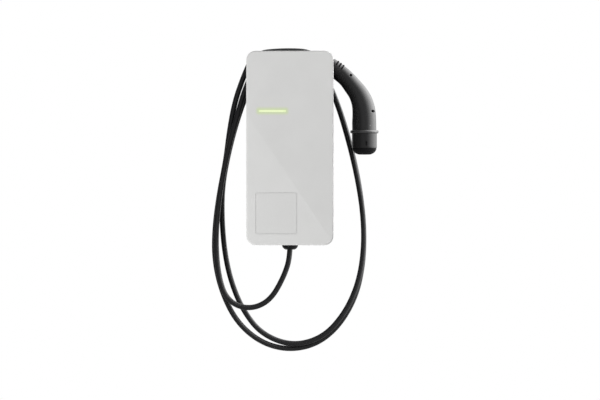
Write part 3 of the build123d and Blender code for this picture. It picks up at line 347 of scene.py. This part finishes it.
# Zinc plate is a cool grey with a faint bloom; streaks are drawn wider than the real rolling marks
zinc_sheet = worked_metal("zinc_plated_sheet", ("#a2a6aa", "#b0b3b6"), 3.0, (0.32, 0.48))
screw_steel = worked_metal("turned_steel", ("#a9abae", "#bcbec0"), 0.8, (0.25, 0.40))
spacer_brass = worked_metal("turned_brass", ("#b09650", "#c0a860"), 0.8, (0.22, 0.35))
tinned_sheet = worked_metal("tinned_steel_sheet", ("#b4b7ba", "#c0c2c5"), 2.0, (0.20, 0.32))
silver_plate = worked_metal("silver_plated_copper", ("#c6c8ca", "#d2d3d4"), 0.8, (0.18, 0.28))
# The handset's screws are blackened, so their wells look empty
black_steel = worked_metal("blackened_steel", ("#141415", "#1a1a1b"), 0.8, (0.45, 0.60))
print("metals made")

# %% [markdown]
# ## Circuit boards and wires
#
# The boards inside are glass epoxy under green solder resist. Copper tracks show through the resist as
# slightly lighter lines, and bricks with thin joints make a fair pattern of them. The five wires from the
# gland to the board each have their own colour, which follows from the angle round the cable's axis.

# %% Solder resist over copper
TRACK_MM = 5.0
# Width of a track, as a share of the pattern
TRACK_W = 0.06
board_resist, tree, shader = start_material("solder_resist_on_epoxy", Roughness=0.3)
place = add_node(tree, "ShaderNodeTexCoord").outputs["Object"]
# A brick pattern lies in X and Y, so the board's X and Z are turned into that plane
laid_flat = add_node(tree, "ShaderNodeMapping", {"Vector": place, "Rotation": (math.pi / 2, 0, 0)})
tracks = add_node(tree, "ShaderNodeTexBrick", {"Vector": laid_flat.outputs["Vector"],
                                               "Scale": per_metre(TRACK_MM),
                                               "Color1": linear("#184d33"), "Color2": linear("#1a5437"),
                                               "Mortar": linear("#2f7a50"), "Mortar Size": TRACK_W})
tree.links.new(tracks.outputs["Color"], shader.inputs["Base Color"])

# %% Wire colours round the cable's axis
WIRE_COLOURS = ("#5a3a26", "#1d1d1e", "#7c8084", "#2b4f8a", "#5d8a3a")
CABLE_AXIS_Y = -29.0 * MM
wire_pvc, tree, shader = start_material("wire_insulation_pvc", Roughness=0.4)
place = add_node(tree, "ShaderNodeTexCoord").outputs["Object"]
centred = add_node(tree, "ShaderNodeMapping", {"Vector": place, "Location": (0, -CABLE_AXIS_Y, 0),
                                               "Rotation": (0, 0, math.pi / len(WIRE_COLOURS))})
turn = add_node(tree, "ShaderNodeTexGradient", {"Vector": centred.outputs["Vector"]}, gradient_type="RADIAL")
ramp = add_node(tree, "ShaderNodeValToRGB", {"Fac": turn.outputs["Fac"]})
ramp.color_ramp.interpolation = "CONSTANT"
for i in range(1, len(WIRE_COLOURS) - 1):
    ramp.color_ramp.elements.new(i / len(WIRE_COLOURS))
for i, (element, colour) in enumerate(zip(ramp.color_ramp.elements, WIRE_COLOURS)):
    element.position = i / len(WIRE_COLOURS)
    element.color = linear(colour)
tree.links.new(ramp.outputs["Color"], shader.inputs["Base Color"])
print("board and wire finishes made")

# %% [markdown]
# ## Status light
#
# The bar is clear acrylic with small lamps behind it, so it glows pale green with no lamp to be seen. Light
# that leaks round it lights the cover green for about a centimetre. A real glow would need many more samples,
# so that spill of light is painted into the cover's colour: a green painted glow that fades with the distance
# from the bar's outline.

# %% Lit acrylic
LIGHT_CENTRE = (-37.0 * MM, 0.0, 78.0 * MM)
LIGHT_HALF = (28.5 * MM, 1.0, 2.0 * MM)
GLOW_MM = 9.0


def from_bar(tree, half):
    """Distance from the bar's outline: the length of |place - centre| - half, where that is above nothing."""
    place = add_node(tree, "ShaderNodeTexCoord").outputs["Object"]
    offset = add_node(tree, "ShaderNodeVectorMath", {0: place, 1: LIGHT_CENTRE},
                      operation="SUBTRACT").outputs[0]
    size = add_node(tree, "ShaderNodeVectorMath", {0: offset}, operation="ABSOLUTE").outputs[0]
    beyond = add_node(tree, "ShaderNodeVectorMath", {0: size, 1: half}, operation="SUBTRACT").outputs[0]
    outside = add_node(tree, "ShaderNodeVectorMath", {0: beyond, 1: (0, 0, 0)},
                       operation="MAXIMUM").outputs[0]
    return add_node(tree, "ShaderNodeVectorMath", {0: outside}, operation="LENGTH").outputs["Value"]


# The core is a touch whiter than the ends of the bar, where fewer lamps add up
lit_acrylic, tree, shader = start_material("lit_acrylic", Roughness=0.3, Emission_Strength=1.0,
                                           Base_Color=linear("#101010"))
CORE_HALF = (22.0 * MM, 1.0, 1.0 * MM)
CORE_FADE = 6.0 * MM
fade = add_node(tree, "ShaderNodeMapRange", {"Value": from_bar(tree, CORE_HALF), "From Max": CORE_FADE})
glow = add_node(tree, "ShaderNodeMix", {0: fade.outputs["Result"], 6: linear("#eaf6c6"),
                                        7: linear("#e0eeb9")}, data_type="RGBA")
tree.links.new(glow.outputs[2], shader.inputs["Emission Color"])
print("light bar made")

# %% Painted glow on the cover
tree = cover_asa.node_tree
shader = tree.nodes["Principled BSDF"]
plain = shader.inputs["Base Color"].links[0].from_socket
# Painted light: near the bar the cover's base colour is mixed towards pale green, standing in for the glow
# that spills from the bar
near = add_node(tree, "ShaderNodeMapRange", {"Value": from_bar(tree, LIGHT_HALF), "From Max": GLOW_MM * MM,
                                             "To Min": 1.0, "To Max": 0.0}, interpolation_type="SMOOTHSTEP")
painted_glow = add_node(tree, "ShaderNodeMix", {0: near.outputs["Result"], 6: plain, 7: linear("#cedab0")},
                  data_type="RGBA")
tree.links.new(painted_glow.outputs[2], shader.inputs["Base Color"])
print("glow on the cover made")

# %% [markdown]
# ## A finish for every piece
#
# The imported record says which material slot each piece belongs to, so a table from slot to finish is enough
# to dress the whole charger.

# %% Finishes by slot
FINISH = {
    "cover": cover_asa, "insert": window_asa, "light": lit_acrylic, "housing": housing_asa,
    "plate": plate_asa, "zinc": zinc_sheet, "steel": screw_steel, "seal": seal_epdm, "gland": gland_pa,
    "board": board_resist, "relay": relay_pbt, "terminal": terminal_pa, "sensor": sensor_epoxy,
    "spacer": spacer_brass, "can": tinned_sheet, "lead": wire_pvc, "plug": handset_pa, "nose": nose_pbt,
    "contact": silver_plate, "cap": cap_tpe,
}
dressed = 0
for subpart in frame["record"]["subparts"]:
    if subpart["material_slot"] in FINISH:
        mesh = nodes[subpart["node"]].data
        mesh.materials.clear()
        mesh.materials.append(FINISH[subpart["material_slot"]])
        dressed += 1
nodes["plug_screws"].data.materials[0] = black_steel
print("dressed", dressed, "of", len(nodes), "pieces")

# %% [markdown]
# ## Handset handle
#
# The handle is two moulded shells whose section is a soft oval, fuller on the outer side of the bend than on
# the inner one. It could be sculpted, or subdivided from a few boxes, but an oval swept along a bent line has
# a formula, and one fine grid can then also take the seam between the shells, the grip ribs and the two
# screw wells. So the handle is one surface of two parameters: the distance along its axis and the turn
# round it.

# %% Handle sizes, in millimetres
HANDLE_FOOT, BEND_START, BEND_R = 38.8, 52.0, 137.0
BEND_TURN = math.radians(50)
TAIL_L = 34.2
STRAIGHT_L = BEND_START - HANDLE_FOOT
HANDLE_L = STRAIGHT_L + BEND_R * BEND_TURN + TAIL_L
# Half sizes of the oval at stations along the axis: outer side, inner side, and front to back
STATIONS = (0, 20, 40, 60, 80, 100, 120, 140, HANDLE_L)
OUTER = (25.4, 25.1, 26.3, 26.2, 23.6, 19.7, 18.7, 18.5, 16.7)
INNER = (26.1, 26.5, 23.6, 20.0, 18.2, 19.0, 17.3, 17.6, 16.7)
DEPTH = (24.0, 23.2, 22.3, 20.9, 19.3, 17.4, 15.9, 14.5, 13.5)
OVAL_POWER = 2.0
SMOOTH_STEPS = 31
SEAM_CROWDING = 0.35
SEAM_DEPTH, SEAM_W = 0.4, 0.5
RIB_PROUD, RIB_EDGE, RIB_RUN_OUT = 1.4, 0.5, 1.0
WELL_EDGE, WELL_FLOOR = 0.7, -8.0
HANDLE_RINGS, HANDLE_CORNERS = 340, 264


# %% Handle surface
def soft_step(value, start, end):
    """0 before the start, 1 after the end, and 3 t^2 - 2 t^3 between them."""
    t = np.clip((value - start) / (end - start), 0, 1)
    return t * t * (3 - 2 * t)


def eased(stations, sizes, along):
    """Sizes read off between stations, then averaged over a short run so that no station shows."""
    half = SMOOTH_STEPS // 2
    padded = np.pad(np.interp(along, stations, sizes), half, mode="edge")
    return np.convolve(padded, np.full(SMOOTH_STEPS, 1 / SMOOTH_STEPS), mode="valid")


def handle_rings():
    """An oval |x / a|^p + |y / b|^p = 1 carried along a straight run, an arc and another straight run.

    The radius is taken in at the seam and out at the ribs, and the front is pushed back where a well is.
    """
    along = np.linspace(0, HANDLE_L, HANDLE_RINGS)
    even = np.linspace(0, 2 * np.pi, HANDLE_CORNERS, endpoint=False)
    angle = (even - SEAM_CROWDING * np.sin(2 * even))[None, :]
    cos, sin = np.cos(angle), np.sin(angle)
    side = np.where(cos > 0, eased(STATIONS, OUTER, along)[:, None], eased(STATIONS, INNER, along)[:, None])
    out = side * np.sign(cos) * np.abs(cos) ** (2 / OVAL_POWER)
    y = eased(STATIONS, DEPTH, along)[:, None] * np.sign(sin) * np.abs(sin) ** (2 / OVAL_POWER)

    pitch, half_rib, from_axis = RIB_PITCH / MM, RIB_W / MM / 2, RIB_FROM_AXIS / MM
    from_middle = along[:, None] - RIB_LEAN * y - (HANDLE_L + RIB_MIDDLE / MM)
    to_rib = np.abs((from_middle + pitch / 2) % pitch - pitch / 2)
    rib = (1 - soft_step(to_rib, half_rib - RIB_EDGE, half_rib)) * (np.abs(from_middle) < RIB_SPAN / MM / 2)
    rib = rib * soft_step(out, from_axis - RIB_RUN_OUT, from_axis + RIB_RUN_OUT)
    seam = np.exp(-(y / SEAM_W) ** 2) * (1 - rib)
    grow = 1 + (RIB_PROUD * rib - SEAM_DEPTH * seam) / np.hypot(out, y)
    out, y = out * grow, y * grow

    turn = np.clip((along - STRAIGHT_L) / BEND_R, 0, BEND_TURN)[:, None]
    past = np.clip(along - STRAIGHT_L - BEND_R * BEND_TURN, 0, None)[:, None]
    rise = np.minimum(HANDLE_FOOT + along, BEND_START)[:, None]
    x = -BEND_R + (BEND_R + out) * np.cos(turn) - past * np.sin(turn)
    z = rise + (BEND_R + out) * np.sin(turn) + past * np.cos(turn)
    for across, up in WELLS:
        reach = np.hypot(x - across / MM, z - up / MM)
        inside = 1 - soft_step(reach, WELL_R / MM - WELL_EDGE, WELL_R / MM)
        y = y + inside * np.clip(WELL_FLOOR - y, 0, None)
    turned_x = PLUG_AXIS[0] + MM * (x * math.cos(HANDLE_YAW) + y * math.sin(HANDLE_YAW))
    turned_y = PLUG_AXIS[1] + MM * (y * math.cos(HANDLE_YAW) - x * math.sin(HANDLE_YAW))
    return np.stack([turned_x, turned_y, MM * z], -1)


# %% Handle in place
handle = add_piece("handset_handle", tube_mesh("handset_handle", handle_rings()), handset_pa)
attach(handle, "housing")
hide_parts("plug_handle_front", "plug_handle_rear")
print("handle faces", len(handle.data.polygons))

# %% [markdown]
# ## Charging cable
#
# The cable is one length of about four metres, 11.5 mm thick. It leaves the gland, swings down to the left,
# goes up the left side, over the top behind the cover, and round twice more before it ends in the handset.
# A bevelled curve would do, but a tube whose rings are computed gives each point its distance along the
# cable, which the jacket's finish can use. The tube follows a smooth NURBS line whose control points are the
# route's own points.

# %% The cable's route, in millimetres
CABLE_D = 11.5 * MM
ROUTE = MM * np.array([
    (0, -29, -192), (0.5, -29, -230), (-12.5, -29.5, -272), (-39.5, -30, -320.5),
    (-74, -31, -340.5), (-111, -32.5, -338), (-138, -34, -316), (-151, -35, -278),
    (-158, -35, -222), (-157, -35, -155), (-148, -35, -82), (-134.5, -35, -10), (-115, -34, 62),
    (-97.5, -31.5, 124), (-77, -29.5, 170), (-36, -29, 198.5),
    (34, -27, 198.5), (68, -20.5, 170), (89, -18, 126), (105, -17.5, 86), (119, -17.5, 40),
    (134.5, -17.5, -18), (148.5, -17.5, -84), (157.5, -17.5, -150), (158, -17.5, -220),
    (146, -17.5, -290), (117, -17.5, -353.5), (70, -17.5, -405), (4, -16.5, -422.5),
    (-62, -13.5, -397), (-102.5, -10, -344), (-127, -8, -284), (-140.5, -7, -222), (-146.5, -7, -150),
    (-145.5, -7, -80), (-133.5, -7, -14), (-117, -8.5, 50), (-97.5, -12, 108), (-73, -15, 163),
    (-36, -16, 198.5),
    (34, -14.5, 198.5), (70, -8, 171), (91, -6, 124), (108, -6, 80), (124.5, -6, 26), (142, -6, -44),
    (153.5, -6, -112), (159, -6, -180), (156.5, -6, -248), (141.5, -6, -317), (105, -6, -380.5),
    (56, -6.5, -420), (-4, -8.5, -431.5),
    (-63.5, -13, -415), (-114.5, -18, -371), (-147, -20.5, -305), (-162, -21, -236), (-161, -21, -168),
    (-151.5, -21, -96), (-137.5, -21, -26), (-130, -21, 36.5), (-118.3, -22, 101), (-98.5, -23.5, 157),
    (-77, -24, 204.5), (-10, -22.5, 210.7), (52.73, -22.61, 207.15), (89.16, -31.35, 175.72),
])
print("route points", len(ROUTE))


# %% A smooth line through the route
def smooth_line(route, steps):
    """Points along the NURBS line of order 3 whose control points are the route's, clamped to its ends."""
    curve = bpy.data.curves.new("cable_route", "CURVE")
    curve.dimensions = "3D"
    spline = curve.splines.new("NURBS")
    spline.points.add(len(route) - 1)
    spline.points.foreach_set("co", np.column_stack([route, np.ones(len(route))]).ravel())
    spline.order_u = 3
    spline.use_endpoint_u = True
    spline.resolution_u = steps
    holder = bpy.data.objects.new("cable_route", curve)
    bpy.context.scene.collection.objects.link(holder)
    line = bpy.data.meshes.new_from_object(holder.evaluated_get(bpy.context.evaluated_depsgraph_get()))
    points = np.empty(len(line.vertices) * 3)
    line.vertices.foreach_get("co", points)
    bpy.data.objects.remove(holder)
    bpy.data.meshes.remove(line)
    return points.reshape(-1, 3)


STEPS_PER_RUN = 12
cable_line = smooth_line(ROUTE, STEPS_PER_RUN)
cable_runs = np.linalg.norm(np.diff(cable_line, axis=0), axis=1)
cable_along = np.concatenate([[0], np.cumsum(cable_runs)])
print("cable line", len(cable_line), "points", round(cable_along[-1], 4), "m")


# %% Rings along the line
def swept_rings(line, radius, corners):
    """Circles across a line: a ring is centre + r (cos a side + sin a up).

    The side is tangent x Y and up is side x tangent.
    """
    tangent = np.gradient(line, axis=0)
    tangent /= np.linalg.norm(tangent, axis=1, keepdims=True)
    side = np.cross(tangent, (0, 1, 0))
    side /= np.linalg.norm(side, axis=1, keepdims=True)
    up = np.cross(side, tangent)
    angle = np.linspace(0, 2 * np.pi, corners, endpoint=False)[None, :, None]
    return line[:, None] + radius * (np.cos(angle) * side[:, None] + np.sin(angle) * up[:, None])


CABLE_CORNERS = 28
cable_mesh = tube_mesh("cable", swept_rings(cable_line, CABLE_D / 2, CABLE_CORNERS))
along = cable_mesh.attributes.new("along", "FLOAT", "POINT")
along.data.foreach_set("value", np.repeat(cable_along, CABLE_CORNERS))
print("cable faces", len(cable_mesh.polygons))

# %% [markdown]
# ## Cable jacket
#
# The jacket is extruded polyurethane: smooth, a little waxy, and drawn out of a die, so what varies does so
# along its length. A noise that reads only the distance along the cable gives bands of slightly different
# gloss and shade, and a fine grain keeps the highlight from looking drawn with a ruler.

# %% Extruded jacket
BAND_MM = 25.0
JACKET_GRAIN_MM = 1.5
JACKET_GRAIN_DEPTH = 0.1
JACKET_GLOSS = (0.38, 0.48)
cable_tpu, tree, shader = start_material("extruded_polyurethane", Specular_IOR_Level=0.18)
distance = add_node(tree, "ShaderNodeAttribute", attribute_name="along").outputs["Fac"]
bands = add_node(tree, "ShaderNodeTexNoise", {"W": distance, "Scale": per_metre(BAND_MM), "Detail": 2.0},
                 noise_dimensions="1D").outputs["Fac"]
place = add_node(tree, "ShaderNodeTexCoord").outputs["Object"]
grain = add_node(tree, "ShaderNodeTexNoise", {"Vector": place, "Scale": per_metre(JACKET_GRAIN_MM),
                                              "Detail": 2.0}).outputs["Fac"]
rough = add_node(tree, "ShaderNodeMapRange", {"Value": bands, "From Min": NOISE_LOW, "From Max": NOISE_HIGH,
                                              "To Min": JACKET_GLOSS[0], "To Max": JACKET_GLOSS[1]})
bump = add_node(tree, "ShaderNodeBump", {"Height": grain, "Strength": JACKET_GRAIN_DEPTH,
                                         "Distance": GRAIN_HEIGHT * JACKET_GRAIN_MM * MM})
tree.links.new(two_shades(tree, bands, "#131314", "#171718"), shader.inputs["Base Color"])
tree.links.new(rough.outputs["Result"], shader.inputs["Roughness"])
tree.links.new(bump.outputs["Normal"], shader.inputs["Normal"])
print("cable jacket made")

# %% Cable in place
cable = add_piece("cable", cable_mesh, cable_tpu)
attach(cable, "housing")
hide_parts("charging_cable")
on_cable = [handle]
on_cable += [node for name, node in nodes.items() if name.startswith("plug_") and "handle" not in name]
print("cable carries", [piece.name for piece in on_cable])

# %% [markdown]
# ## Studio
#
# The charger floats on plain white. The white is the world's colour for rays that come from the camera,
# through glass or off a shiny face. Black plastic would look grey if it mirrored white all round, so
# reflections also find a dark card on the left and a bright panel on the right, which draws the light edge
# on the handset. Both fade in with the angle from their middle. What lights the object is an even dome and a
# broad lamp from the lower left, which separates the three facets of the face. A small lamp above and two
# behind the face keep the top, the right side and the back from going dull.

# %% White world
DOME = 0.22
TO_CARD = (-1.0, 0.0, 0.0)
CARD_EDGE = (0.35, 0.9)
CARD = 0.1
TO_PANEL = (0.85, 0.0, 0.53)
PANEL_EDGE = 0.3
PANEL = 11.0
world = bpy.data.worlds.new("white_studio")
bpy.context.scene.world = world
world.use_nodes = True
tree = world.node_tree
tree.nodes.clear()
ray = add_node(tree, "ShaderNodeLightPath").outputs
direction = add_node(tree, "ShaderNodeTexCoord").outputs["Generated"]
to_card = add_node(tree, "ShaderNodeVectorMath", {0: direction, 1: TO_CARD},
                   operation="DOT_PRODUCT").outputs["Value"]
to_panel = add_node(tree, "ShaderNodeVectorMath", {0: direction, 1: TO_PANEL},
                    operation="DOT_PRODUCT").outputs["Value"]
white = add_node(tree, "ShaderNodeMapRange", {"Value": to_card, "From Min": CARD_EDGE[0],
                                              "From Max": CARD_EDGE[1], "To Min": 1.0, "To Max": CARD})
onto_panel = add_node(tree, "ShaderNodeMapRange",
                      {"Value": to_panel, "From Min": PANEL_EDGE}).outputs["Result"]
hot = add_node(tree, "ShaderNodeMath", {0: onto_panel, 1: onto_panel}, operation="MULTIPLY").outputs[0]
mirrored = add_node(tree, "ShaderNodeMath", {0: hot, 1: PANEL, 2: white.outputs["Result"]},
                    operation="MULTIPLY_ADD").outputs[0]
direct = add_node(tree, "ShaderNodeMath", {0: ray["Is Camera Ray"], 1: ray["Is Transmission Ray"]},
                  operation="MAXIMUM").outputs[0]
lit = add_node(tree, "ShaderNodeMix", {0: ray["Is Glossy Ray"], 2: DOME, 3: mirrored},
               data_type="FLOAT").outputs[0]
strength = add_node(tree, "ShaderNodeMix", {0: direct, 2: lit, 3: 1.0}, data_type="FLOAT").outputs[0]
sky = add_node(tree, "ShaderNodeBackground", {"Color": (1, 1, 1, 1), "Strength": strength})
add_node(tree, "ShaderNodeOutputWorld", {"Surface": sky.outputs[0]})
bpy.context.scene.view_settings.view_transform = "Standard"
print("world made")


# %% Soft lamps
def soft_lamp(name, place, side, watts):
    """A square lamp at a place, turned to face the charger. Shiny faces don't show it."""
    lamp = bpy.data.objects.new(name, bpy.data.lights.new(name, "AREA"))
    bpy.context.scene.collection.objects.link(lamp)
    lamp.data.shape = "SQUARE"
    lamp.data.size = side
    lamp.data.energy = watts
    lamp.location = place
    lamp.rotation_euler = (-lamp.location).to_track_quat("-Z", "Y").to_euler()
    lamp.visible_glossy = False


# Name, place in metres, side in metres and watts
LAMPS = (("key_left", (-1.99, -1.70, -1.47), 1.2, 86.0),
         ("fill_above", (0.5, -1.0, 0.9), 0.8, 6.0),
         ("fill_right", (2.6, 0.8, 0.2), 1.2, 34.0),
         ("fill_back", (-0.8, 2.7, 0.8), 1.2, 34.0))
for lamp_name, lamp_place, lamp_side, lamp_watts in LAMPS:
    soft_lamp(lamp_name, lamp_place, lamp_side, lamp_watts)
print("lamps made")

# %% [markdown]
# ## Floor
#
# The charger hangs on a wall, so the floor is well below the cable's lowest loop and out of the picture. It
# is a thin pale disc that takes the object's shadow in other views and fades out towards its rim, so that it
# has no hard edge against the white.

# %% A pale disc that fades out
FLOOR_Z = -1.2
FLOOR_R = 0.5
# The disc is plain out to this share of its radius, and fades from there
FLOOR_FADE = 0.3
FLOOR_T = 0.004
FLOOR_RINGS = 12
FLOOR_CORNERS = 64
FLOOR_HUB = 0.01
FLOOR_LIFT = 0.35


def disc_rings(radius, top, thick):
    """A thin disc as rings (r cos a, r sin a, z): r grows to the radius on top and shrinks again below."""
    grow = np.linspace(FLOOR_HUB, 1, FLOOR_RINGS) * radius
    reach = np.concatenate([grow, grow[::-1]])[:, None]
    height = np.repeat([top, top - thick], FLOOR_RINGS)[:, None]
    angle = np.linspace(0, 2 * np.pi, FLOOR_CORNERS, endpoint=False)[None, :]
    return np.stack([reach * np.cos(angle), reach * np.sin(angle), height + 0 * angle], -1)


floor_paint, tree, shader = start_material("pale_floor", Base_Color=linear("#f2f2f0"), Roughness=0.8,
                                           Emission_Color=linear("#ffffff"))
place = add_node(tree, "ShaderNodeTexCoord").outputs["Object"]
level = add_node(tree, "ShaderNodeVectorMath", {0: place, 1: (1, 1, 0)}, operation="MULTIPLY")
reach = add_node(tree, "ShaderNodeVectorMath", {0: level.outputs[0]}, operation="LENGTH")
kept = add_node(tree, "ShaderNodeMapRange", {"Value": reach.outputs["Value"],
                                             "From Min": FLOOR_FADE * FLOOR_R, "From Max": FLOOR_R,
                                             "To Min": 1.0, "To Max": 0.0})
tree.links.new(kept.outputs["Result"], shader.inputs["Alpha"])
# Only the camera sees this lift, so the floor is pale and still throws no more light on the charger
seen = add_node(tree, "ShaderNodeLightPath").outputs["Is Camera Ray"]
lift = add_node(tree, "ShaderNodeMath", {0: seen, 1: FLOOR_LIFT}, operation="MULTIPLY")
tree.links.new(lift.outputs[0], shader.inputs["Emission Strength"])
floor = add_piece("floor", tube_mesh("floor", disc_rings(FLOOR_R, FLOOR_Z, FLOOR_T)), floor_paint)
print("floor made")
